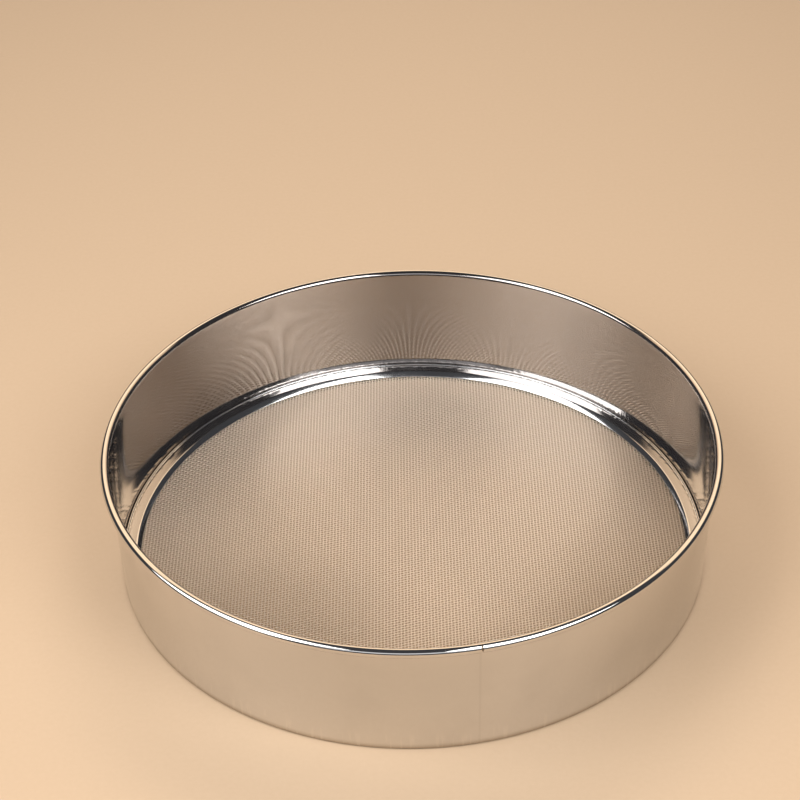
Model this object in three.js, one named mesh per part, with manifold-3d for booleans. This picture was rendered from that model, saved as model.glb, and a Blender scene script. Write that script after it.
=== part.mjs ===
// A round drum sieve for flour and sugar: a tapered steel hoop with a wired rim, a disc of woven wire
// cloth that lies on the hoop's turned-in foot, and a pressed ring that clamps the cloth from above.
// Millimetres, +Z up. The origin is the centre of the footprint, on the surface the sieve stands on.
import * as THREE from "three";
import { mergeGeometries, mergeVertices } from "three/addons/utils/BufferGeometryUtils.js";
import Module from "manifold-3d";

// Hoop
const RIM_DIAMETER = 300; // over the rolled rim
const HEIGHT = 64; // from the foot to the top of the rim
const WALL_TAPER = 1.5; // the wall draws in this much in radius from the rim to the foot
const HOOP_SHEET = 0.5;
const FOOT_BEND = 0.6; // inside radius between the wall and the foot
const RIM_BEAD = 4.5; // outside diameter of the rolled rim
const RIM_SLIT = 0.4; // left between the rolled edge and the wall

// Wire cloth, drawn as a net whose strands each stand for a group of wires
const WIRE_DIAMETER = 0.5;
const WIRE_PITCH = 1.6;
const WEFT_SKEW = 15; // degrees that the weft leans from square to the warp
const WIRES_PER_STRAND = 9;

// Clamp ring
const RING_SHEET = 0.5;
const RING_WIDTH = 8.2; // from the wall side to the lip
const RING_RISE = 2.7; // from the lip's edge to the flat beside the shoulder
const RING_FALL = 0.6; // the flat falls this much from the shoulder to the nose
const SHOULDER_RADIUS = 0.6; // half-round bead beside the wall
const NOSE_RADIUS = 1.8; // rounding from the flat to the lip

// Clearance between pieces that touch
const FIT_GAP = 0.3;

// Fineness of the round shapes
const ROUND_SIDES = 72;
const WIRE_SIDES = 8;
const ARC_STEP = 30; // degrees, in the sections

// Finishes
const SATIN_SHEET = { color: 0xc6c1ba, roughness: 0.25, metalness: 1 };
const DRAWN_WIRE = { color: 0x9c9a96, roughness: 0.45, metalness: 1 };
const POLISHED_SHEET = { color: 0xcfcdca, roughness: 0.18, metalness: 1 };
const WOVEN_WIRE = { color: 0xb9ab9a, roughness: 0.4, metalness: 1 };

// Radii and heights that the pieces share
const rimRadius = RIM_DIAMETER / 2;
const beadRadius = RIM_BEAD / 2;
const beadBore = beadRadius - HOOP_SHEET;
const rimCentre = new THREE.Vector2(rimRadius - beadRadius, HEIGHT - beadRadius);
const baseRadius = rimCentre.x - beadBore - WALL_TAPER;
const baseBore = baseRadius - HOOP_SHEET;
const clothRadius = baseBore - FOOT_BEND;
const clothBottom = HOOP_SHEET + FIT_GAP;
const clothThickness = 2 * WIRE_DIAMETER;
const ringRadius = baseBore - FIT_GAP;
const lipRadius = ringRadius - RING_WIDTH;
const ringBottom = clothBottom + clothThickness + FIT_GAP;
const weftSkew = THREE.MathUtils.degToRad(WEFT_SKEW);

const point = (x, y) => new THREE.Vector2(x, y);

// Points along an arc of a section, both ends included.
function arc(centre, radius, fromDegrees, toDegrees) {
  const steps = Math.ceil(Math.abs(toDegrees - fromDegrees) / ARC_STEP);
  const points = [];
  for (let step = 0; step <= steps; step += 1) {
    const degrees = THREE.MathUtils.lerp(fromDegrees, toDegrees, step / steps);
    const angle = THREE.MathUtils.degToRad(degrees);
    points.push(point(centre.x + radius * Math.cos(angle), centre.y + radius * Math.sin(angle)));
  }
  return points;
}

// The ring-shaped solid that a closed section of radii and heights sweeps round the sieve's axis.
function revolve(section) {
  const geometry = new THREE.LatheGeometry([...section, section[0]], ROUND_SIDES);
  return geometry.rotateX(Math.PI / 2);
}

// A round plate centred on the axis.
function plate(radius, bottom, thickness) {
  const geometry = new THREE.CylinderGeometry(radius, radius, thickness, ROUND_SIDES);
  return geometry.rotateX(Math.PI / 2).translate(0, 0, bottom + thickness / 2);
}

// The section runs along the outside from the foot to the rim, round the wire and back down the inside.
function drumHoop() {
  const bendOutside = FOOT_BEND + HOOP_SHEET;
  const footCorner = point(baseRadius - bendOutside, bendOutside);
  const slitAngle = Math.acos((beadBore - RIM_SLIT) / beadRadius);
  const curlEnd = THREE.MathUtils.radToDeg(slitAngle) - 180;
  return revolve([
    point(lipRadius, 0),
    ...arc(footCorner, bendOutside, -90, 0),
    ...arc(rimCentre, beadBore, 180, curlEnd),
    ...arc(rimCentre, beadRadius, curlEnd, 180),
    ...arc(footCorner, FOOT_BEND, 0, -90),
    point(lipRadius, HOOP_SHEET),
  ]);
}

// The wire fills the rolled rim, apart from the clearance.
function rimWire() {
  const wireRadius = beadBore - FIT_GAP;
  const section = new THREE.EllipseCurve(rimCentre.x, rimCentre.y, wireRadius, wireRadius);
  return revolve(section.getPoints(WIRE_SIDES).slice(0, -1));
}

// The ring bears on the cloth with its outer leg and with the lip below its nose, and is open underneath.
function clampRing() {
  const flat = ringBottom + RING_RISE;
  const shoulder = point(ringRadius - SHOULDER_RADIUS, flat);
  const noseRadius = Math.min(NOSE_RADIUS, RING_RISE - RING_FALL);
  const nose = point(lipRadius + noseRadius, flat - RING_FALL - noseRadius);
  return revolve([
    point(lipRadius + RING_SHEET, ringBottom),
    ...arc(nose, noseRadius - RING_SHEET, 180, 90),
    point(ringRadius - RING_SHEET, flat - RING_SHEET),
    point(ringRadius - RING_SHEET, ringBottom),
    point(ringRadius, ringBottom),
    ...arc(shoulder, SHOULDER_RADIUS, 0, 180),
    ...arc(nose, noseRadius, 90, 180),
    point(lipRadius, ringBottom),
  ]);
}

const manifold = await Module();
manifold.setup();

function toSolid(geometry) {
  geometry.deleteAttribute("normal");
  geometry.deleteAttribute("uv");
  const merged = mergeVertices(geometry);
  const vertProperties = merged.attributes.position.array;
  const triVerts = Uint32Array.from(merged.index.array);
  return new manifold.Manifold(new manifold.Mesh({ numProp: 3, vertProperties, triVerts }));
}

function toGeometry(solid) {
  const { vertProperties, triVerts } = solid.getMesh();
  const geometry = new THREE.BufferGeometry();
  geometry.setAttribute("position", new THREE.BufferAttribute(vertProperties, 3));
  geometry.setIndex(new THREE.BufferAttribute(triVerts, 1));
  geometry.computeVertexNormals();
  return geometry;
}

// Where a line along the warp, at x, crosses a weft line that lies the given distance from the axis.
function crossing(x, weftDistance) {
  return point(x, (weftDistance + x * Math.sin(weftSkew)) / Math.cos(weftSkew));
}

// The cloth is a net inside the ring's lip and a whole band where the ring and the foot grip it.
// The strands are as wide as gives the net the weight of the woven wires.
function meshDisc() {
  const strandPitch = WIRES_PER_STRAND * WIRE_PITCH;
  const wireSection = (Math.PI * WIRE_DIAMETER ** 2) / 4;
  const solidShare = (2 * wireSection) / (WIRE_PITCH * clothThickness);
  const halfGap = (strandPitch * Math.sqrt(1 - solidShare)) / 2;
  const cutBottom = clothBottom - clothThickness;
  const cutDepth = 3 * clothThickness;
  const reach = Math.ceil(lipRadius / strandPitch);
  const gaps = [];
  for (let warp = -reach; warp <= reach; warp += 1) {
    for (let weft = -reach; weft <= reach; weft += 1) {
      const x = warp * strandPitch;
      const distance = weft * strandPitch;
      if (crossing(x, distance).length() < lipRadius) {
        const outline = new THREE.Shape([
          crossing(x - halfGap, distance - halfGap),
          crossing(x + halfGap, distance - halfGap),
          crossing(x + halfGap, distance + halfGap),
          crossing(x - halfGap, distance + halfGap),
        ]);
        const prism = new THREE.ExtrudeGeometry(outline, { depth: cutDepth, bevelEnabled: false });
        gaps.push(prism.translate(0, 0, cutBottom));
      }
    }
  }
  const field = toSolid(plate(lipRadius, cutBottom, cutDepth));
  const disc = toSolid(plate(clothRadius, clothBottom, clothThickness));
  return toGeometry(disc.subtract(toSolid(mergeGeometries(gaps)).intersect(field)));
}

const sieve = new THREE.Group();

function addPiece(name, geometry, finish) {
  const mesh = new THREE.Mesh(geometry, new THREE.MeshStandardMaterial(finish));
  mesh.name = name;
  sieve.add(mesh);
}

addPiece("drum_hoop", drumHoop(), SATIN_SHEET);
addPiece("rim_wire", rimWire(), DRAWN_WIRE);
addPiece("clamp_ring", clampRing(), POLISHED_SHEET);
addPiece("mesh_disc", meshDisc(), WOVEN_WIRE);

export default sieve;
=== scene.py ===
# %% [markdown]
# # Dressing a drum sieve
# A drum sieve is a hoop of bright sheet steel with a disc of wire cloth stretched over its base. The solid
# model already says how large everything is and where it sits. It could be painted as it is, but its rounds
# have flat sides and its cloth is only a coarse net. So each of its solids is read for its size, and a
# finer piece is modelled in the same place to stand for it.

# %% Load the solid model
import math
import random

import bpy
import numpy as np
from mathutils import Matrix, Vector


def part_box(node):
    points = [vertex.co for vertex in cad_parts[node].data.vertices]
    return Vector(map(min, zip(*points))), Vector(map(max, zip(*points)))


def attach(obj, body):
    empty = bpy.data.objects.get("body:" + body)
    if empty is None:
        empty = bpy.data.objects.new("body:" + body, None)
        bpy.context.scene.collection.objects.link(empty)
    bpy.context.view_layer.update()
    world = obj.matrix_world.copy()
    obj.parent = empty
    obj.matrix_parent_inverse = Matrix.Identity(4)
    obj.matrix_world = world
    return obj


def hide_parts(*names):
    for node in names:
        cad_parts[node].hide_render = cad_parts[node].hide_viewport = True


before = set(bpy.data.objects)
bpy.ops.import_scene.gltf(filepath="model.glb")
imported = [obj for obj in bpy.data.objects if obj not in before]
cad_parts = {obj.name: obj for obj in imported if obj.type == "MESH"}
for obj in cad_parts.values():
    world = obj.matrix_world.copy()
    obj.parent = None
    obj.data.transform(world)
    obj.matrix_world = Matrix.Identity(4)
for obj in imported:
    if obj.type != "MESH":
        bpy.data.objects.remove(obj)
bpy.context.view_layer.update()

# %% [markdown]
# ## Sizes
# Everything is measured in metres, and a sieve is easier to think of in millimetres, so one named unit
# turns one into the other. The boxes of the solids give the radii and heights. What a box can't tell, such
# as the thickness of the sheet, is written here once.

# %% Read the sizes off the solids
MM = 0.001
INCH = 25.4 * MM
SHEET = 0.5 * MM
FIT_GAP = 0.3 * MM
FOOT_BEND = 0.6 * MM
RIM_SLIT = 0.4 * MM
RING_WIDTH = 8.2 * MM

wire_low, wire_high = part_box("rim_wire")
ring_low, ring_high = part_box("clamp_ring")
cloth_low, cloth_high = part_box("mesh_disc")
rim_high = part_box("drum_hoop")[1]
wire_radius = (wire_high.z - wire_low.z) / 2
rim_centre = (wire_high.x - wire_radius, (wire_high.z + wire_low.z) / 2)
bead_radius = rim_high.x - rim_centre[0]
base_radius = ring_high.x + FIT_GAP + SHEET
lip_radius = ring_high.x - RING_WIDTH
print(f"rim radius {rim_high.x / MM:.1f} mm, height {rim_high.z / MM:.1f} mm")
print(f"base radius {base_radius / MM:.1f} mm, radius inside the ring {lip_radius / MM:.1f} mm")

# %% [markdown]
# ## The camera
# The photograph was taken with a long lens from in front, a little over a third of the way up from level.
# The rim and the base show as two ellipses, and only one camera draws both where they are. Its focal length
# is kept in pixels of the square image and turned into a lens for Blender's 36 mm sensor.

# %% Place the camera
IMAGE_SIDE = 800
FOCAL_PIXELS = 2112
CAMERA_PLACE = Vector((0, -0.8073, 0.6869))
CAMERA_YAW = math.radians(-0.357)
CAMERA_PITCH = math.radians(-36.615)
CAMERA_ROLL = math.radians(-1.313)

bpy.ops.object.select_all(action="DESELECT")
bpy.ops.object.camera_add(location=CAMERA_PLACE)
camera = bpy.context.object
camera.name = "camera"
turn = Matrix.Rotation(-CAMERA_YAW, 3, "Z")
tilt = Matrix.Rotation(math.pi / 2 + CAMERA_PITCH, 3, "X")
lean = Matrix.Rotation(CAMERA_ROLL, 3, "Z")
camera.rotation_euler = (turn @ tilt @ lean).to_euler()
camera.data.lens = FOCAL_PIXELS * camera.data.sensor_width / IMAGE_SIDE
bpy.context.scene.camera = camera
bpy.context.scene.view_settings.view_transform = "Standard"
print(f"lens {camera.data.lens:.1f} mm")

# %% [markdown]
# ## Drawing sheet metal
# A spinner makes round sheet work by pushing a flat blank along a former. The same can be done here: a ring
# of edges is extruded again and again, and each new ring is lifted and widened to the next point of the
# section. A lathe would need the whole section as a wire first. Extruding needs only the list of points,
# and the round parts of that list come from one small arc function.

# %% Helpers for a section
def arc(centre, radius, first, last, steps):
    """Points (radius, height) along an arc of a section, from first to last in degrees."""
    angles = np.radians(np.linspace(first, last, steps + 1))
    return [(centre[0] + radius * math.cos(a), centre[1] + radius * math.sin(a)) for a in angles]


def straight(start, end, steps):
    """Points that part a straight stretch of a section, without its start."""
    shares = np.arange(1, steps + 1) / steps
    return [tuple(np.add(start, share * np.subtract(end, start))) for share in shares]


# %% Draw a sheet along its section
def draw_sheet(name, section, sides):
    """A single skin of sheet round the sieve's axis, extruded ring by ring along its section."""
    bpy.ops.object.select_all(action="DESELECT")
    bpy.ops.mesh.primitive_circle_add(vertices=sides, radius=section[0][0], location=(0, 0, section[0][1]))
    piece = bpy.context.object
    piece.name = name
    bpy.ops.object.transform_apply(location=True, rotation=True, scale=True)
    bpy.ops.object.mode_set(mode="EDIT")
    bpy.ops.mesh.select_all(action="SELECT")
    for (radius, height), (next_radius, next_height) in zip(section, section[1:]):
        lift = {"value": (0, 0, next_height - height)}
        bpy.ops.mesh.extrude_edges_move(TRANSFORM_OT_translate=lift)
        widen = next_radius / radius
        bpy.ops.transform.resize(value=(widen, widen, 1), center_override=(0, 0, next_height))
    bpy.ops.mesh.select_all(action="SELECT")
    bpy.ops.mesh.normals_make_consistent(inside=False)
    bpy.ops.object.mode_set(mode="OBJECT")
    return piece


# %% [markdown]
# The skin has no thickness yet, and stays that way until its small marks are pressed, because a single skin
# is easier to select on. Three more helpers read its points, select some of them in edit mode, and at the
# end give the skin its thickness with Solidify.

# %% Helpers to select and thicken
SMOOTH_ANGLE = math.radians(50)


def mesh_points(piece):
    """The piece's vertices as rows of x, y, z."""
    flat = np.empty(3 * len(piece.data.vertices))
    piece.data.vertices.foreach_get("co", flat)
    return flat.reshape(-1, 3)


def select_points(piece, chosen):
    """Opens the piece in edit mode with the chosen vertices, and what lies between them, selected."""
    mesh = piece.data
    mesh.polygons.foreach_set("select", np.zeros(len(mesh.polygons), bool))
    mesh.edges.foreach_set("select", np.zeros(len(mesh.edges), bool))
    mesh.vertices.foreach_set("select", chosen)
    bpy.ops.object.select_all(action="DESELECT")
    bpy.context.view_layer.objects.active = piece
    piece.select_set(True)
    bpy.ops.object.mode_set(mode="EDIT")
    bpy.ops.mesh.select_mode(type="VERT")


def thicken(piece, thickness, offset):
    """Gives a single skin its thickness and smooths its rounds."""
    bpy.ops.object.select_all(action="DESELECT")
    bpy.context.view_layer.objects.active = piece
    piece.select_set(True)
    solidify = piece.modifiers.new("sheet", "SOLIDIFY")
    solidify.thickness = thickness
    solidify.offset = offset
    solidify.use_even_offset = True
    bpy.ops.object.modifier_apply(modifier=solidify.name)
    bpy.ops.object.shade_smooth_by_angle(angle=SMOOTH_ANGLE)
    print(f"{piece.name}: {len(piece.data.polygons)} faces")


# %% [markdown]
# ## The hoop
# The hoop is one strip of sheet: a flat foot turned in at the bottom, a wall that widens a little towards
# the top, and a rim rolled outward round a wire. Its section is drawn along the middle of the sheet, and
# Solidify then adds half the thickness to each side, so the foot, the wall and the curl all stay one
# sheet thick.

# %% Draw the hoop
HOOP_SIDES = 288
BEND_STEPS = 6
WALL_ROWS = 16
CURL_STEPS = 20
half_sheet = SHEET / 2
bend_radius = FOOT_BEND + half_sheet
foot_corner = (base_radius - half_sheet - bend_radius, half_sheet + bend_radius)
curl_radius = bead_radius - half_sheet
wall_foot = (base_radius - half_sheet, foot_corner[1])
wall_head = (rim_centre[0] - curl_radius, rim_centre[1])
slit_share = (bead_radius - SHEET - RIM_SLIT) / bead_radius
curl_end = math.degrees(math.acos(slit_share)) - 180

hoop_section = [(lip_radius, half_sheet)]
hoop_section += arc(foot_corner, bend_radius, -90, 0, BEND_STEPS)
hoop_section += straight(wall_foot, wall_head, WALL_ROWS)
hoop_section += arc(rim_centre, curl_radius, 180, curl_end, CURL_STEPS)[1:]
hoop = draw_sheet("hoop_sheet", hoop_section, HOOP_SIDES)
print(f"hoop section of {len(hoop_section)} points")

# %% [markdown]
# ## The weld seam
# The strip's ends meet at the front, a little to the right, in a fine upright weld. On the rim the two ends
# of the curl only butt, so a small notch shows there. Bisect cuts new edges into the sheet beside the
# seam. The middle ones are pressed in by less than a tenth of a millimetre, and the faces between
# them are deleted where the rim is rolled.

# %% Cut edges beside the seam
SEAM_ANGLE = math.radians(11.1)
SEAM_CUTS = [-1.0 * MM, -0.4 * MM, 0.4 * MM, 1.0 * MM]
SEAM_REACH = 8 * MM
seam_out = Vector((math.sin(SEAM_ANGLE), -math.cos(SEAM_ANGLE), 0))
seam_side = Vector((math.cos(SEAM_ANGLE), math.sin(SEAM_ANGLE), 0))


def beside_seam(piece, reach):
    """Which vertices lie within reach of the seam's upright plane, on its side of the sieve."""
    points = mesh_points(piece)
    return (abs(points @ seam_side) < reach) & (points @ seam_out > 0)


for cut in SEAM_CUTS:
    select_points(hoop, beside_seam(hoop, SEAM_REACH))
    bpy.ops.mesh.bisect(plane_co=seam_side * cut, plane_no=seam_side)
    bpy.ops.object.mode_set(mode="OBJECT")

# %% Press the seam and notch the rim
SEAM_DEPTH = 0.05 * MM
NOTCH_HALF = 0.45 * MM
heights = mesh_points(hoop)[:, 2]
on_wall = (heights > wall_foot[1]) & (heights < wall_head[1] - bead_radius)
select_points(hoop, beside_seam(hoop, NOTCH_HALF) & on_wall)
bpy.ops.transform.translate(value=seam_out * -SEAM_DEPTH)
bpy.ops.object.mode_set(mode="OBJECT")
on_curl = np.hypot(*mesh_points(hoop).T[:2]) > rim_centre[0]
select_points(hoop, beside_seam(hoop, NOTCH_HALF) & on_curl)
bpy.ops.mesh.delete(type="FACE")
bpy.ops.object.mode_set(mode="OBJECT")
thicken(hoop, SHEET, offset=0)

# %% [markdown]
# ## The wire in the rim
# The rolled rim is stiff because it goes round a wire. Only the slit below the curl gives a glimpse of it.
# A torus would do, but a circle spun round the axis is how the wire is really bent, and gives the same
# sides as the hoop so that the gap between them stays even.

# %% Spin the rim wire
CORE_SIDES = 12
MERGE_DISTANCE = 0.01 * MM
bpy.ops.object.select_all(action="DESELECT")
bpy.ops.mesh.primitive_circle_add(
    vertices=CORE_SIDES,
    radius=wire_radius,
    location=(rim_centre[0], 0, rim_centre[1]),
    rotation=(math.pi / 2, 0, 0),
)
rim_wire = bpy.context.object
rim_wire.name = "rim_core_wire"
bpy.ops.object.transform_apply(location=True, rotation=True, scale=True)
bpy.ops.object.mode_set(mode="EDIT")
bpy.ops.mesh.select_all(action="SELECT")
bpy.ops.mesh.spin(steps=HOOP_SIDES, angle=2 * math.pi, center=(0, 0, 0), axis=(0, 0, 1))
bpy.ops.mesh.select_all(action="SELECT")
bpy.ops.mesh.remove_doubles(threshold=MERGE_DISTANCE)
bpy.ops.mesh.normals_make_consistent(inside=False)
bpy.ops.object.mode_set(mode="OBJECT")
bpy.ops.object.shade_smooth()
print(f"rim wire {2 * wire_radius / MM:.1f} mm thick, {len(rim_wire.data.polygons)} faces")

# %% [markdown]
# ## The clamp ring
# A pressed ring wedges the cloth against the foot. From the wall inward it has a small round shoulder, a
# fine groove, a flat that falls a little, a crease, and a sloping nose whose lip turns down on the cloth.
# It is drawn as one skin, the top of the metal, and the thickness is added below. It is drawn a little
# wider than its solid, because the real one is squeezed tight against the wall.

# %% Draw the clamp ring
RING_SIDES = 1152
RING_SQUEEZE = 0.25 * MM
SHOULDER_RADIUS = 0.6 * MM
GROOVE_WIDTH = 0.4 * MM
GROOVE_DEPTH = 0.1 * MM
RING_FALL = 0.35 * MM
CREASE_HALF = 0.2 * MM
NOSE_WIDTH = 2.0 * MM
NOSE_SLOPE = math.radians(40)
LIP_BEND = 0.45 * MM
LIP_EDGE = 0.045 * MM
SHOULDER_STEPS = 8
FLAT_STEPS = 5
LIP_STEPS = 5

ring_flat = ring_high.z - SHOULDER_RADIUS
ring_outer = ring_high.x + RING_SQUEEZE
shoulder = (ring_outer - SHOULDER_RADIUS, ring_flat)
groove = shoulder[0] - SHOULDER_RADIUS - GROOVE_WIDTH / 2
groove_edge = (groove - GROOVE_WIDTH / 2, ring_flat)
crease_start = (lip_radius + NOSE_WIDTH + CREASE_HALF, ring_flat - RING_FALL)
crease_end = (crease_start[0] - 2 * CREASE_HALF, crease_start[1] - CREASE_HALF * math.tan(NOSE_SLOPE))
lip_centre = (lip_radius + LIP_BEND, ring_low.z + LIP_EDGE)

ring_section = [(ring_outer, ring_low.z)]
ring_section += arc(shoulder, SHOULDER_RADIUS, 0, 180, SHOULDER_STEPS)
ring_section += [(groove, ring_flat - GROOVE_DEPTH), groove_edge]
ring_section += straight(groove_edge, crease_start, FLAT_STEPS)
ring_section += [crease_end]
ring_section += arc(lip_centre, LIP_BEND, 90 + math.degrees(NOSE_SLOPE), 180, LIP_STEPS)
ring_section += [(lip_radius, ring_low.z)]
clamp_ring = draw_sheet("pressed_ring", ring_section, RING_SIDES)

# %% [markdown]
# Where the press gripped the ring, little puckers run along the groove, a few millimetres apart: single
# points of the groove's inner edge pushed down, at places drawn from a seeded list of random numbers so
# that they come out the same every time. The middle of each pucker is pushed twice, so it ends deepest.

# %% Pucker the groove
PUCKERS = 138
PUCKER_DEPTH = 0.18 * MM
PUCKER_STRAY = 0.35
PUCKER_SEED = 5
PUCKER_REACHES = (1.5, 0.5)
side_angle = 2 * math.pi / RING_SIDES
draw = random.Random(PUCKER_SEED)
pucker_turns = [(k + draw.uniform(-PUCKER_STRAY, PUCKER_STRAY)) / PUCKERS for k in range(PUCKERS)]
pucker_angles = np.array(pucker_turns) * 2 * math.pi
ring_points = mesh_points(clamp_ring)
on_edge = abs(np.hypot(ring_points[:, 0], ring_points[:, 1]) - groove_edge[0]) < GROOVE_WIDTH / 4
edge_angles = np.arctan2(ring_points[:, 1], ring_points[:, 0])
turns = (edge_angles[:, None] - pucker_angles + math.pi) % (2 * math.pi) - math.pi
nearest = abs(turns).min(axis=1)
for reach in PUCKER_REACHES:
    select_points(clamp_ring, on_edge & (nearest < reach * side_angle))
    bpy.ops.transform.translate(value=(0, 0, -PUCKER_DEPTH / len(PUCKER_REACHES)))
    bpy.ops.object.mode_set(mode="OBJECT")
print(f"{PUCKERS} puckers along the ring")

# %% [markdown]
# Solidify has to add the metal below the skin, and which side that is depends on which way the skin's
# faces look. One face of the flat tells.

# %% Thicken the ring downward
flat_row = ring_section.index(groove_edge) + 1
flat_faces_up = clamp_ring.data.polygons[RING_SIDES * flat_row].normal.z > 0
thicken(clamp_ring, SHEET, offset=-1 if flat_faces_up else 1)

# %% [markdown]
# ## The wire cloth
# The cloth is a plain weave: each wire goes over one and under the next. A texture could only hint at that,
# and light has to pass through the gaps, so every wire is real. The warp is a little thicker than the weft,
# which leans from square to it. So both sets of wires use the same two steps: one along the weft and one
# along the warp. Each wire rises and falls by its crimp, which is what lets the two sets just touch.

# %% Sizes of the weave
WIRE_SIDES = 6
WARP_DIAMETER = 0.66 * MM
WEFT_DIAMETER = 0.56 * MM
WIRE_PITCH = 1.6 * MM
WEFT_LEAN = math.radians(15)
CLOTH_HIDDEN_EDGE = 5 * MM
SPARE_PAIRS = 12
crimp = (WARP_DIAMETER + WEFT_DIAMETER) / 4
weft_step = Vector((WIRE_PITCH, WIRE_PITCH * math.tan(WEFT_LEAN), 0))
warp_step = Vector((0, WIRE_PITCH / math.cos(WEFT_LEAN), 0))
cloth_middle = (cloth_low.z + cloth_high.z) / 2
cloth_reach = lip_radius + CLOTH_HIDDEN_EDGE
pairs = math.ceil(cloth_reach / WIRE_PITCH / math.cos(WEFT_LEAN)) + SPARE_PAIRS
print(f"{INCH / WIRE_PITCH:.0f} wires to the inch")

# %% [markdown]
# One stretch of wire with two crossings is extruded from a circle. An Array repeats it to a whole wire, a
# second sets a neighbour beside it that starts one crossing later, and a third repeats the pair until it
# covers the whole disc.

# %% Weave the wires
def add_array(piece, count, step, merge):
    """Repeats the piece in even steps."""
    array = piece.modifiers.new("repeat", "ARRAY")
    array.count = count
    array.use_relative_offset = False
    array.use_constant_offset = True
    array.constant_offset_displace = step
    array.use_merge_vertices = merge
    array.merge_threshold = MERGE_DISTANCE
    bpy.ops.object.modifier_apply(modifier=array.name)


def weave(name, along, across, diameter, first_height):
    """All the wires of one direction: along is a wire's own step, across the step to its neighbours."""
    start = -pairs * (along + across) + Vector((0, 0, cloth_middle + first_height))
    heading = math.atan2(along.y, along.x)
    bpy.ops.object.select_all(action="DESELECT")
    bpy.ops.mesh.primitive_circle_add(
        vertices=WIRE_SIDES,
        radius=diameter / 2,
        location=start,
        rotation=(math.pi / 2, 0, heading + math.pi / 2),
    )
    wires = bpy.context.object
    wires.name = name
    bpy.ops.object.transform_apply(location=True, rotation=True, scale=True)
    bpy.ops.object.mode_set(mode="EDIT")
    bpy.ops.mesh.select_all(action="SELECT")
    for dip in (-2 * first_height, 2 * first_height):
        bpy.ops.mesh.extrude_edges_move(TRANSFORM_OT_translate={"value": along + Vector((0, 0, dip))})
    bpy.ops.mesh.select_all(action="SELECT")
    bpy.ops.mesh.normals_make_consistent(inside=False)
    bpy.ops.object.mode_set(mode="OBJECT")
    add_array(wires, pairs, 2 * along, True)
    add_array(wires, 2, along + across, False)
    add_array(wires, pairs, 2 * across, False)
    return wires


warp_wires = weave("warp_wires", warp_step, weft_step, WARP_DIAMETER, crimp)
weft_wires = weave("weft_wires", weft_step, warp_step, WEFT_DIAMETER, -crimp)
print(f"{pairs * 2} wires each way before the disc is cut")

# %% [markdown]
# ## Cutting the disc
# The woven square is cut to a disc that ends out of sight under the clamp ring. Cutting through a wire at
# any place would leave ragged tubes, so each point is first traced back to the crossing that it belongs to,
# and whole crossings are kept or deleted. The open ends are then filled.

# %% Cut the disc and close the ends
WARP_COLUMN, WEFT_COLUMN = 0, 1


def crossing_numbers(wires):
    """For each point, in two columns, which wire of the warp and which of the weft cross nearest to it."""
    steps = np.array([weft_step[:2], warp_step[:2]])
    return np.round(mesh_points(wires)[:, :2] @ np.linalg.inv(steps))


def cut_disc(wires):
    """Deletes the crossings outside the disc and closes the wires' ends."""
    crossings = crossing_numbers(wires) @ np.array([weft_step[:2], warp_step[:2]])
    select_points(wires, np.hypot(*crossings.T) > cloth_reach)
    bpy.ops.mesh.delete(type="VERT")
    bpy.ops.mesh.select_all(action="SELECT")
    bpy.ops.mesh.fill_holes(sides=WIRE_SIDES)
    bpy.ops.object.mode_set(mode="OBJECT")


for wires in (warp_wires, weft_wires):
    cut_disc(wires)
    print(f"{wires.name}: {len(wires.data.polygons)} faces")

# %% [markdown]
# Hand-stretched cloth isn't quite flat. A few broad, shallow swells and dips give it soft light and dark
# patches. They are less than a millimetre high, and fade out towards the ring that holds the cloth down.

# %% Stretch the cloth
DENTS = [  # middle x and y, width and height, all in millimetres
    (5, 45, 38, -0.45),
    (-55, 75, 40, 0.7),
    (70, 40, 45, 0.8),
    (-75, -60, 45, -0.45),
    (40, -70, 50, 0.5),
]
DENT_FADE = 4  # the higher, the nearer to the ring the cloth goes flat

for wires in (warp_wires, weft_wires):
    points = mesh_points(wires)
    x, y = points[:, 0] / MM, points[:, 1] / MM
    free = np.clip(1 - (np.hypot(x, y) * MM / lip_radius) ** DENT_FADE, 0, 1)
    swell = sum(h * np.exp(-((x - mx) ** 2 + (y - my) ** 2) / w**2) for mx, my, w, h in DENTS)
    points[:, 2] += swell * free * MM
    wires.data.vertices.foreach_set("co", points.ravel())
    print(f"{wires.name}: lowest point {points[:, 2].min() / MM:.2f} mm above the table")

# %% [markdown]
# Each direction has too many faces for one comfortable mesh, so it is parted down the middle, between two
# neighbouring wires, into two pieces.

# %% Part the cloth into halves
def part(wires, column, kept_name, new_name):
    """Separates the wires with a number above zero into a piece of their own."""
    select_points(wires, crossing_numbers(wires)[:, column] > 0)
    bpy.ops.mesh.separate(type="SELECTED")
    bpy.ops.object.mode_set(mode="OBJECT")
    half = next(piece for piece in bpy.context.selected_objects if piece != wires)
    wires.name = kept_name
    half.name = new_name
    for piece in (wires, half):
        piece.select_set(True)
    bpy.ops.object.shade_smooth()
    return [wires, half]


warp = part(warp_wires, WARP_COLUMN, "warp_wires_left", "warp_wires_right")
weft = part(weft_wires, WEFT_COLUMN, "weft_wires_front", "weft_wires_back")
for piece in warp + weft:
    print(f"{piece.name}: {sum(len(face.vertices) - 2 for face in piece.data.polygons)} triangles")

# %% [markdown]
# ## A small language for finishes
# A finish is a graph of nodes. Written out node by node it hides what is meant, so two small classes are
# used. A Tone is a number that changes over a surface, and sums with it add Math nodes. A Finish holds one
# material, and its one method adds any other node from its type, its settings and its inputs.

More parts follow.
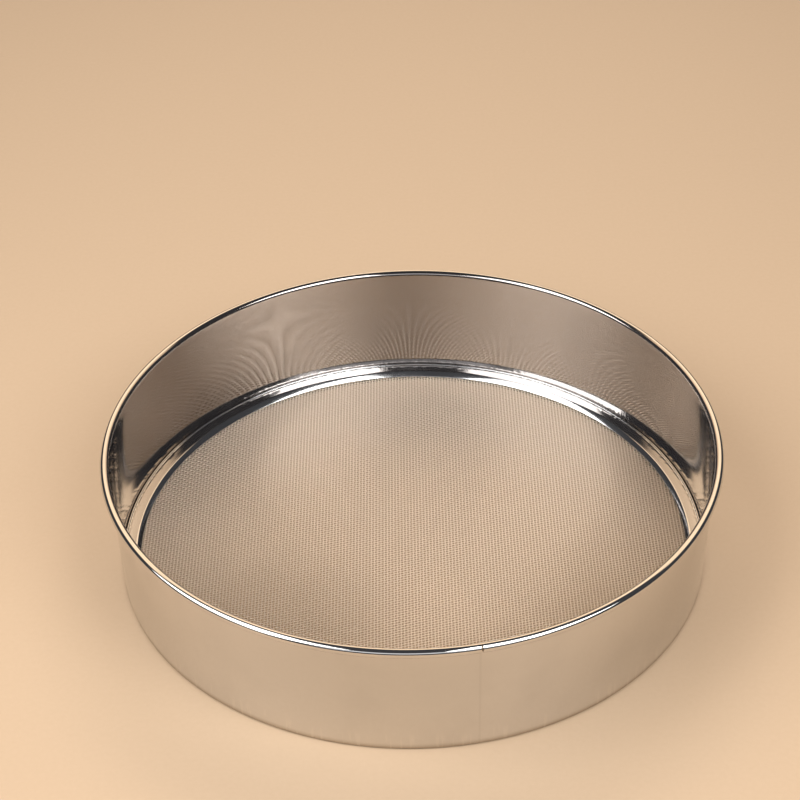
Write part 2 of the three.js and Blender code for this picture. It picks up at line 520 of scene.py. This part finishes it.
# %% Class for a number that changes
class Tone:
    """A number, colour or direction that changes over a surface."""

    def __init__(self, finish, socket):
        self.finish = finish
        self.socket = socket

    def math(self, operation, *values):
        return self.finish.add("ShaderNodeMath", {"operation": operation}, dict(enumerate(values)))

    def __add__(self, other):
        return self.math("ADD", self, other)

    def __sub__(self, other):
        return self.math("SUBTRACT", self, other)

    def __rsub__(self, other):
        return self.math("SUBTRACT", other, self)

    def __mul__(self, other):
        return self.math("MULTIPLY", self, other)

    def __truediv__(self, other):
        return self.math("DIVIDE", self, other)

    def __rtruediv__(self, other):
        return self.math("DIVIDE", other, self)

    def __abs__(self):
        return self.math("ABSOLUTE", self)

    __radd__ = __add__
    __rmul__ = __mul__


# %% Class for a finish
MIX_SHARE, MIX_FIRST, MIX_SECOND, MIX_RESULT = 0, 6, 7, 2  # the Mix node's sockets for colours


class Finish:
    """The nodes of one material, or of the world."""

    def __init__(self, owner):
        self.owner = owner
        self.owner.use_nodes = True
        self.tree = self.owner.node_tree
        self.tree.nodes.clear()

    def add(self, kind, settings, inputs, output=0):
        node = self.tree.nodes.new(kind)
        for name, value in settings.items():
            setattr(node, name, value)
        for name, value in inputs.items():
            if isinstance(value, Tone):
                self.tree.links.new(value.socket, node.inputs[name])
            else:
                node.inputs[name].default_value = value
        return Tone(self, node.outputs[output])

    def coordinates(self, output):
        """Where a point of the piece lies in metres, or which way it faces."""
        return self.add("ShaderNodeTexCoord", {}, {}, output)

    def parts(self, vector):
        """A place's or direction's three numbers."""
        return [self.add("ShaderNodeSeparateXYZ", {}, {"Vector": vector}, k) for k in range(3)]

    def noise(self, vector, scale, detail):
        """Cloudy noise about one half, with scale swells to a metre."""
        inputs = {"Vector": vector, "Scale": scale, "Detail": detail}
        return self.add("ShaderNodeTexNoise", {}, inputs, "Fac")

    def ramp(self, value, low, high):
        """Zero at low, one at high and smooth between."""
        inputs = {"Value": value, "From Min": low, "From Max": high}
        return self.add("ShaderNodeMapRange", {"interpolation_type": "SMOOTHSTEP"}, inputs)

    def blend(self, share, first, second):
        """A colour between two, by share."""
        inputs = {MIX_SHARE: share, MIX_FIRST: first, MIX_SECOND: second}
        return self.add("ShaderNodeMix", {"data_type": "RGBA"}, inputs, MIX_RESULT)

    def bump(self, height, depth, *under):
        """The surface's direction, tilted by a height of so many metres, on top of any tilt under it."""
        inputs = {"Height": height, "Distance": depth, "Strength": 1.0}
        return self.add("ShaderNodeBump", {}, {**inputs, **{"Normal": normal for normal in under}})

    def surface(self, inputs):
        """Ends a material's graph in a surface."""
        self.end(self.add("ShaderNodeBsdfPrincipled", {}, inputs), "ShaderNodeOutputMaterial")

    def end(self, last, kind):
        """Joins the last node to the graph's output."""
        output = self.tree.nodes.new(kind)
        self.tree.links.new(last.socket, output.inputs["Surface"])


# %% [markdown]
# ## Bright sheet
# Polished stainless sheet is nearly a mirror, but never an even one. Rolling leaves faint lines along the
# strip, hands leave smudges, use leaves hair scratches, and thin sheet is always a little wavy. Each of
# these is a noise at its own scale. The lines and scratches are noise drawn out into streaks, on a
# coordinate made of the way round the drum and the height.

# %% Finish for any polished sheet
LINES_ALONG, LINES_UP = 36, 2700  # swells to a metre
LINES_ROUGH = 0.02
LINES_DEPTH = 0.001 * MM
SMUDGE_SWELLS = 28
SMUDGE_EDGE = (0.45, 0.75)
SMUDGE_SHARE = 0.6
SCRATCH_ALONG, SCRATCH_UP = (160, 1040), (-36, 240)  # how both coordinates mix, for slanting streaks
SCRATCH_EDGE = (0.73, 0.76)
SCRATCH_ROUGH = 0.12
SCRATCH_SHARE = 0.3
WAVE_SWELLS = 14
LINES_LAYER, RIPPLE_LAYER, SCRATCH_LAYER = 0.0, 2.0, 4.0  # slices of the noise, so that no two agree


class SheetFinish(Finish):
    """Polished sheet round the axis, its roughness from smooth to smudged, with broad waves."""

    def __init__(self, name, bright, dull, smooth, smudged, wave):
        super().__init__(bpy.data.materials.new(name))
        place = self.coordinates("Object")
        self.x, self.y, self.z = self.parts(place)
        self.along = self.x.math("ARCTAN2", self.y, self.x) * base_radius
        self.lines = self.streaks(self.along * LINES_ALONG, self.z * LINES_UP, LINES_LAYER, detail=3)
        smudge = self.ramp(self.noise(place, SMUDGE_SWELLS, detail=4), *SMUDGE_EDGE)
        slant_along = self.along * SCRATCH_ALONG[0] + self.z * SCRATCH_ALONG[1]
        slant_up = self.along * SCRATCH_UP[0] + self.z * SCRATCH_UP[1]
        slanting = self.streaks(slant_along, slant_up, SCRATCH_LAYER, detail=2)
        scratches = self.ramp(slanting, *SCRATCH_EDGE)
        self.roughness = smooth + smudge * (smudged - smooth)
        self.roughness += self.lines * LINES_ROUGH + scratches * SCRATCH_ROUGH
        self.colour = self.blend(smudge * SMUDGE_SHARE + scratches * SCRATCH_SHARE, bright, dull)
        self.normal = self.bump(self.noise(place, WAVE_SWELLS, detail=1), wave)

    def streaks(self, along, up, layer, detail):
        """Noise on two coordinates, in one slice of its third."""
        place = self.add("ShaderNodeCombineXYZ", {}, {"X": along, "Y": up, "Z": layer})
        return self.noise(place, 1.0, detail)

    def polish(self):
        """Ends the graph, with the rolling lines on top of all else."""
        normal = self.bump(self.lines, LINES_DEPTH, self.normal)
        inputs = {"Base Color": self.colour, "Roughness": self.roughness, "Normal": normal}
        self.surface({"Metallic": 1.0, **inputs})


# %% [markdown]
# The ring needs no more than that. The hoop gets more: its inside is painted darker, as painted shade inside
# the drum, and made a little rougher; the sheet ripples where the foot was turned in, with pale strokes on
# those ripples as painted highlights; and the last few millimetres above the table are painted brown, as
# painted shade where the foot meets the table. A faint dark line marks the weld.

# %% Finish of the ring
PRESSED_STEEL = (0.66, 0.655, 0.65, 1)
PRESSED_DULL = (0.58, 0.575, 0.57, 1)
PRESSED_SMOOTH, PRESSED_SMUDGED = 0.09, 0.18
PRESSED_WAVE = 0.03 * MM

ring_finish = SheetFinish(
    "pressed_sheet", PRESSED_STEEL, PRESSED_DULL, PRESSED_SMOOTH, PRESSED_SMUDGED, PRESSED_WAVE
)
ring_finish.polish()
print("finish of the ring made")

# %% Helpers for the marks on the hoop
# painted shade inside the drum: the wall's inside is blended towards this darker tone, by a share that also
# sets the painted shade on the foot
INSIDE_SHADE_TONE = (0.37, 0.33, 0.31, 1)
PAINTED_SHADE_SHARE = 0.78
INSIDE_ROUGH = 0.0156
INSIDE_EDGE = (-0.02, -0.06)
# painted shade where the foot meets the table: its lowest millimetres are blended towards this brown
FOOT_SHADE_TONE = (0.34, 0.28, 0.21, 1)
FOOT_SHADE_HEIGHTS = (4 * MM, 0.0)
RIPPLE_ALONG, RIPPLE_UP = 420, 40  # swells to a metre
RIPPLE_DEPTH = 0.15 * MM
RIPPLE_HEIGHTS = (11 * MM, 3 * MM)
# painted highlights: pale strokes on the ripples above the foot
RIPPLE_HIGHLIGHT_TONE = (0.86, 0.84, 0.8, 1)
RIPPLE_HIGHLIGHT_SHARE = 0.195
RIPPLE_HIGHLIGHT_EDGE = (0.56, 0.66)
RIPPLE_HIGHLIGHT_HEIGHTS = (12 * MM, 5 * MM)
WELD_TONE = (0.36, 0.33, 0.3, 1)
WELD_SHARE = 0.12
WELD_EDGE = (0.8 * MM, 0.2 * MM)
WELD_FRONT = (0.0, -10 * MM)


def shade_inside(sheet):
    """Paints shade on the side of the sheet that faces the axis, and makes it a little rougher."""
    facing_x, facing_y, _ = sheet.parts(sheet.coordinates("Normal"))
    inside = sheet.ramp(facing_x * sheet.x + facing_y * sheet.y, *INSIDE_EDGE)
    # painted shade on the inside of the drum
    sheet.colour = sheet.blend(inside * PAINTED_SHADE_SHARE, sheet.colour, INSIDE_SHADE_TONE)
    sheet.roughness += inside * INSIDE_ROUGH


def ripple_foot(sheet):
    """Paints shade on the foot, ripples the sheet above it and paints highlights on the ripples."""
    # painted shade on the foot
    foot_shade = sheet.ramp(sheet.z, *FOOT_SHADE_HEIGHTS) * PAINTED_SHADE_SHARE
    sheet.colour = sheet.blend(foot_shade, sheet.colour, FOOT_SHADE_TONE)
    ripples = sheet.streaks(sheet.along * RIPPLE_ALONG, sheet.z * RIPPLE_UP, RIPPLE_LAYER, detail=1)
    # painted highlights on the ripples
    ripple_highlights = sheet.ramp(ripples, *RIPPLE_HIGHLIGHT_EDGE) * sheet.ramp(sheet.z, *RIPPLE_HIGHLIGHT_HEIGHTS)
    sheet.colour = sheet.blend(ripple_highlights * RIPPLE_HIGHLIGHT_SHARE, sheet.colour, RIPPLE_HIGHLIGHT_TONE)
    low_ripples = ripples * sheet.ramp(sheet.z, *RIPPLE_HEIGHTS)
    sheet.normal = sheet.bump(low_ripples, RIPPLE_DEPTH, sheet.normal)


def mark_weld(sheet):
    """Darkens the weld line."""
    aside = abs(sheet.x * seam_side.x + sheet.y * seam_side.y)
    weld = sheet.ramp(aside, *WELD_EDGE) * sheet.ramp(sheet.y, *WELD_FRONT)
    sheet.colour = sheet.blend(weld * WELD_SHARE, sheet.colour, WELD_TONE)


# %% Finish of the hoop
SATIN_STEEL = (0.68, 0.67, 0.655, 1)
SATIN_DULL = (0.61, 0.6, 0.585, 1)
SATIN_SMOOTH, SATIN_SMUDGED = 0.05, 0.14
SATIN_WAVE = 0.04 * MM

hoop_finish = SheetFinish("bright_sheet", SATIN_STEEL, SATIN_DULL, SATIN_SMOOTH, SATIN_SMUDGED, SATIN_WAVE)
shade_inside(hoop_finish)
ripple_foot(hoop_finish)
mark_weld(hoop_finish)
hoop_finish.polish()
print("finish of the hoop made")

# %% [markdown]
# ## Drawn wire
# Drawn wire is duller than polished sheet, because the die leaves fine lines on it and the loom rubs it.
# The warp is painted paler than the weft, as a painted highlight on the one and painted shade on the other,
# so that both directions show, and both are tinted warm as a painted reflection of the warm wall. The tone
# drifts a little along and between the wires, and the cloth is painted darker at the front left, as painted
# shade. The wire in the rim is coloured much darker and browner.

# %% Finish for wire
# painted highlight and painted reflection: the warp is painted paler than the weft and tinted warm like the
# wall it mirrors
WARP_LIT_PALE = (0.97, 0.86, 0.745, 1)
WARP_LIT_DARK = (0.92, 0.81, 0.695, 1)
WARP_FRONT_LEFT_SHADE = 0.35
# painted shade and painted reflection: the weft is painted darker than the warp and tinted warm like the
# wall
WEFT_SHADED_PALE = (0.83, 0.71, 0.58, 1)
WEFT_SHADED_DARK = (0.71, 0.605, 0.485, 1)
WEFT_FRONT_LEFT_SHADE = 0.5
CLOTH_SWELLS = 260
CLOTH_SMOOTH = 0.36
# the wire in the rim is coloured much darker and browner than the cloth
CORE_PALE = (0.3, 0.24, 0.18, 1)
CORE_DARK = (0.17, 0.13, 0.09, 1)
CORE_SWELLS = 120
CORE_SMOOTH = 0.26
DRIFT_ROUGH = 0.08
# painted shade at the front left of the cloth, where the wall shades it
FRONT_LEFT_SHADE_TONE = (0.42, 0.34, 0.26, 1)
FRONT_LEFT_SHADE_PLACE = (-70 * MM, -75 * MM)
FRONT_LEFT_SHADE_EDGE = (85 * MM, 10 * MM)


def wire_finish(name, pale, dark, swells, smooth, shade_share):
    """Drawn wire whose tone drifts with so many swells to a metre, with painted shade about one place."""
    finish = Finish(bpy.data.materials.new(name))
    place = finish.coordinates("Object")
    x, y, _ = finish.parts(place)
    drift = finish.noise(place, swells, detail=2)
    off_x = x - FRONT_LEFT_SHADE_PLACE[0]
    off_y = y - FRONT_LEFT_SHADE_PLACE[1]
    apart = x.math("SQRT", off_x * off_x + off_y * off_y)
    # painted shade about one place
    front_left_shade = finish.ramp(apart, *FRONT_LEFT_SHADE_EDGE) * shade_share
    colour = finish.blend(front_left_shade, finish.blend(drift, dark, pale), FRONT_LEFT_SHADE_TONE)
    roughness = smooth + drift * DRIFT_ROUGH
    finish.surface({"Metallic": 1.0, "Base Color": colour, "Roughness": roughness})
    return finish


warp_finish = wire_finish("warp_wire", WARP_LIT_PALE, WARP_LIT_DARK, CLOTH_SWELLS, CLOTH_SMOOTH, WARP_FRONT_LEFT_SHADE)
weft_finish = wire_finish("weft_wire", WEFT_SHADED_PALE, WEFT_SHADED_DARK, CLOTH_SWELLS, CLOTH_SMOOTH, WEFT_FRONT_LEFT_SHADE)
core_finish = wire_finish("rim_wire_steel", CORE_PALE, CORE_DARK, CORE_SWELLS, CORE_SMOOTH, 0.0)
print("finishes of the wires made")

# %% [markdown]
# ## Putting the pieces in the frame
# Each piece rides on the sieve's one body and stands for a solid, which is hidden.

# %% Dress the frame
DRESS = [
    (hoop, "drum_hoop", "hoop_steel", hoop_finish),
    (rim_wire, "rim_wire", "rim_wire_steel", core_finish),
    (clamp_ring, "clamp_ring", "ring_steel", ring_finish),
]
DRESS += [(wires, "mesh_disc", "mesh_wire", warp_finish) for wires in warp]
DRESS += [(wires, "mesh_disc", "mesh_wire", weft_finish) for wires in weft]
for piece, node, slot, finish in DRESS:
    piece.data.materials.clear()
    piece.data.materials.append(finish.owner)
    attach(piece, "root")
    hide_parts(node)
    print(f"{piece.name} stands for {node}")

# %% [markdown]
# ## Floor
# The sieve stands on a plain, pale table. It is no more than a large square with a faint mottle, since what
# matters is how it shows in the steel.

# %% Lay the table
TABLE_SIDE = 12
TABLE_PALE = (0.58, 0.422, 0.283, 1)
TABLE_DARK = (0.55, 0.395, 0.26, 1)
TABLE_SWELLS = 400
TABLE_ROUGH = 0.55
TABLE_SHINE = 0.2
bpy.ops.object.select_all(action="DESELECT")
bpy.ops.mesh.primitive_plane_add(size=TABLE_SIDE)
table = bpy.context.object
table.name = "table"
table_finish = Finish(bpy.data.materials.new("table_top"))
mottle = table_finish.noise(table_finish.coordinates("Object"), TABLE_SWELLS, detail=3)
table_colour = table_finish.blend(mottle, TABLE_DARK, TABLE_PALE)
table_inputs = {"Base Color": table_colour, "Roughness": TABLE_ROUGH, "Specular IOR Level": TABLE_SHINE}
table_finish.surface(table_inputs)
table.data.materials.append(table_finish.owner)
print(f"table {TABLE_SIDE} m wide")

# %% [markdown]
# ## Light
# Bright metal shows what is around it, so the light is built from what the rim mirrors: two large soft boxes
# overhead, one to the left and one to the right, with a dark gap between them. A small third one only
# evens out the far side of the table, so the steel isn't allowed to mirror it.

# %% Hang the soft boxes
LEFT_BOX = {"place": (-0.9, -0.53, 1.0), "aim": (0, -0.53, 0), "width": 1.25, "length": 1.1, "power": 19.0}
RIGHT_BOX = {"place": (0.68, -0.85, 1.1), "aim": (0, -0.85, 0), "width": 1.0, "length": 1.0, "power": 18.8}
FILL_BOX = {"place": (0.05, 0.6, 0.8), "aim": (0.05, 0.6, 0), "width": 0.5, "length": 0.5, "power": 2.5}


def soft_box(name, place, aim, width, length, power):
    """A rectangular soft light at a place, facing a point."""
    bpy.ops.object.select_all(action="DESELECT")
    bpy.ops.object.light_add(type="AREA", location=place)
    box = bpy.context.object
    box.name = name
    box.rotation_euler = (Vector(aim) - Vector(place)).to_track_quat("-Z", "Y").to_euler()
    box.data.shape = "RECTANGLE"
    box.data.size = width
    box.data.size_y = length
    box.data.energy = power
    box.visible_camera = False
    print(f"{name}: {power} W")
    return box


soft_box("soft_box_left", **LEFT_BOX)
soft_box("soft_box_right", **RIGHT_BOX)
table_fill = soft_box("table_fill", **FILL_BOX)
table_fill.visible_glossy = False

# %% [markdown]
# Behind the table stands a warm, pale wall. The camera doesn't see it, but the steel does. It begins above
# the table's far edge, reaches further to the sides higher up, and ends below the soft boxes. In front
# there is a grey wall, and the rest of the room is dark. A direction's sideways and upward shares, divided
# by its forward or upward share, say which of these it meets. A least share keeps that from dividing by
# zero.

# %% Find the walls in each direction
LEAST_SHARE = 0.001
LOW_WALL_SIDE = (0.6, 0.5)
LOW_WALL_FOOT = (0.32, 0.42)
HIGH_WALL_SIDE = (0.98, 0.86)
HIGH_WALL_END = (0.4, 0.55)
WALL_TOP = (0.85, 1.0)
WALL_TOP_LEAN = 0.6
FRONT_WALL_SIDE = (0.8, 0.5)
FRONT_WALL_FOOT = (0.35, 0.5)
FRONT_WALL_TOP = (1.1, 0.9)
studio_world = bpy.data.worlds.new("studio")
bpy.context.scene.world = studio_world
studio = Finish(studio_world)
look_x, look_y, look_z = studio.parts(studio.coordinates("Generated"))
aside = abs(look_x)
ahead = look_y.math("MAXIMUM", look_y, LEAST_SHARE)
behind = look_y.math("MAXIMUM", 0.0 - look_y, LEAST_SHARE)
above = look_z.math("MAXIMUM", look_z, LEAST_SHARE)

low_wall = studio.ramp(aside / ahead, *LOW_WALL_SIDE) * studio.ramp(look_z / ahead, *LOW_WALL_FOOT)
high_wall = studio.ramp(aside / above, *HIGH_WALL_SIDE) * studio.ramp(look_y / above, *HIGH_WALL_END)
wall_top = studio.ramp(look_y / above + aside / above * WALL_TOP_LEAN, *WALL_TOP)
back_wall = low_wall.math("MAXIMUM", low_wall, high_wall) * wall_top
front_wall = studio.ramp(aside / behind, *FRONT_WALL_SIDE) * studio.ramp(look_z / behind, *FRONT_WALL_FOOT)
front_wall *= studio.ramp(look_z / behind, *FRONT_WALL_TOP)

# %% Paint the surroundings
BACK_WALL_TONE = (1.6, 1.2, 0.82, 1)
FRONT_WALL_TONE = (0.95, 0.95, 0.98, 1)
ROOM_TONE = (0.06, 0.06, 0.065, 1)
room = studio.blend(front_wall, ROOM_TONE, FRONT_WALL_TONE)
surroundings = studio.blend(back_wall, room, BACK_WALL_TONE)
studio.end(studio.add("ShaderNodeBackground", {}, {"Color": surroundings}), "ShaderNodeOutputWorld")
print("surroundings painted")
